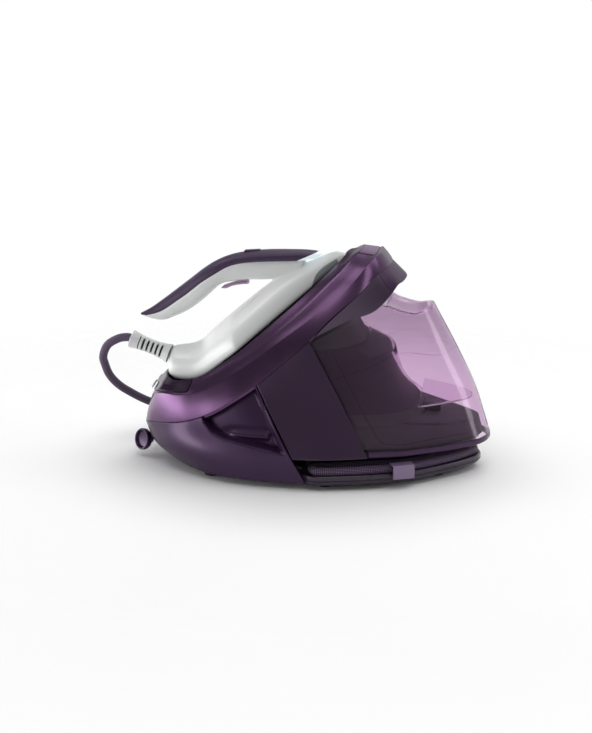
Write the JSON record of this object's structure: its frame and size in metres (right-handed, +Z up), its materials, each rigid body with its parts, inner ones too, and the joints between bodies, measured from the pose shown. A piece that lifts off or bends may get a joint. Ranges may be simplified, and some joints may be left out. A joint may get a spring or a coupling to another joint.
{
  "type": "steam generator iron",
  "caption": "Steam generator iron: iron parked on the sloped top of a boat-shaped base with a see-through water tank, carry lock, descaling knob and a hose stored round the base.",
  "frame": {"origin": "under the middle of the object's box without its hose, on the surface that its feet stand on", "axes": "+X from the iron's heel towards the water tank, +Y towards the far side, +Z up; y = 0 is the plane of symmetry"},
  "size_m": [0.5082, 0.2779, 0.2782],
  "materials": {
    "surround_purple": "metallic satin",
    "casing_violet": "gloss",
    "dark_plastic": "gloss",
    "black_plastic": "matt",
    "foot_rubber": "matt",
    "tank_pink": "clear tint",
    "lilac_plastic": "satin",
    "white_plastic": "gloss",
    "grip_plastic": "soft satin",
    "window_plastic": "gloss",
    "grey_plastic": "satin",
    "steel": "brushed",
    "valve_brass": "satin",
    "board_green": "matt",
    "hose_braid": "woven sleeve"
  },
  "bodies": {
    "base": {"platform_surround": "surround_purple", "overhang_end_cap": "surround_purple", "lower_casing": "casing_violet", "side_cover_near": "casing_violet", "side_cover_far": "casing_violet", "tank_lip": "casing_violet", "overhang_side_near": "dark_plastic", "overhang_side_far": "dark_plastic", "inner_tower": "dark_plastic", "tank_pedestal": "dark_plastic", "pedestal_lid": "dark_plastic", "control_panel": "dark_plastic", "tank_valve": "dark_plastic", "base_tray": "black_plastic", "lower_frame": "black_plastic", "platform_plate": "black_plastic", "mains_inlet": "black_plastic", "hose_gland": "black_plastic", "foot_1_near": "foot_rubber", "foot_1_far": "foot_rubber", "foot_2_near": "foot_rubber", "foot_2_far": "foot_rubber", "foot_3_near": "foot_rubber", "foot_3_far": "foot_rubber", "status_light": "white_plastic", "heat_rest_1": "grey_plastic", "heat_rest_2": "grey_plastic", "water_pump": "grey_plastic", "boiler": "steel", "carry_lock_spring": "steel", "solenoid_valve": "valve_brass", "control_board": "board_green", "steam_hose": "hose_braid"},
    "iron": {"soleplate": "steel", "heat_skirt": "black_plastic", "iron_housing": "white_plastic", "handle_shell": "white_plastic", "handle_grip": "grip_plastic", "light_window": "window_plastic", "strain_relief": "white_plastic"},
    "boost_button": {"boost_button": "dark_plastic"},
    "steam_trigger": {"steam_trigger": "lilac_plastic"},
    "carry_lock_button": {"carry_lock_button": "lilac_plastic"},
    "carry_lock_hook": {"carry_lock_hook": "steel"},
    "water_tank": {"water_tank": "tank_pink", "tank_cover": "tank_pink", "tank_floor": "tank_pink", "tank_inner_wall": "tank_pink"},
    "descale_knob": {"descale_knob": "dark_plastic"},
    "on_off_button": {"on_off_button": "grey_plastic"},
    "eco_button": {"eco_button": "grey_plastic"},
    "hose_clip": {"hose_clip": "lilac_plastic"}
  },
  "joints": [
    {"name": "iron_lift", "type": "slide", "parent": "base", "child": "iron", "axis": [-0.6561, 0, 0.7547], "range_m": [0, 0.06], "deforming": ["steam_hose"]},
    {"name": "boost_press", "type": "slide", "parent": "iron", "child": "boost_button", "axis": [0.0698, 0, -0.9976], "range_m": [0, 0.0008], "stiffness_N_per_m": 900},
    {"name": "trigger_pull", "type": "hinge", "parent": "iron", "child": "steam_trigger", "pos_m": [-0.07885, 0, 0.229], "axis": [0, 1, 0], "range_deg": [0, 3.5], "stiffness_Nm_per_rad": 1.5},
    {"name": "carry_lock_slide", "type": "slide", "parent": "base", "child": "carry_lock_button", "axis": [0.9925, 0, -0.1219], "range_m": [0, 0.004], "stiffness_N_per_m": 400},
    {"name": "carry_hook_slide", "type": "slide", "parent": "base", "child": "carry_lock_hook", "axis": [0.9925, 0, -0.1219], "range_m": [0, 0.004]},
    {"name": "tank_pull", "type": "slide", "parent": "base", "child": "water_tank", "axis": [1, 0, 0], "range_m": [0, 0.16]},
    {"name": "descale_turn", "type": "hinge", "parent": "base", "child": "descale_knob", "pos_m": [-0.21465, -0.0166, 0.022], "axis": [-0.6217, -0.7621, 0.1805], "range_deg": [0, 360]},
    {"name": "on_off_press", "type": "slide", "parent": "base", "child": "on_off_button", "axis": [0.8412, 0, -0.5408], "range_m": [0, 0.0005], "stiffness_N_per_m": 600},
    {"name": "eco_press", "type": "slide", "parent": "base", "child": "eco_button", "axis": [0.8412, 0, -0.5408], "range_m": [0, 0.0005], "stiffness_N_per_m": 600},
    {"name": "clip_swing", "type": "hinge", "parent": "base", "child": "hose_clip", "pos_m": [0.12615, -0.105, 0.012], "axis": [0.9135, 0.4067, 0], "range_deg": [0, 50]}
  ],
  "couplings": [
    {"joint": "carry_hook_slide", "follows": "carry_lock_slide", "ratio": 1}
  ]
}
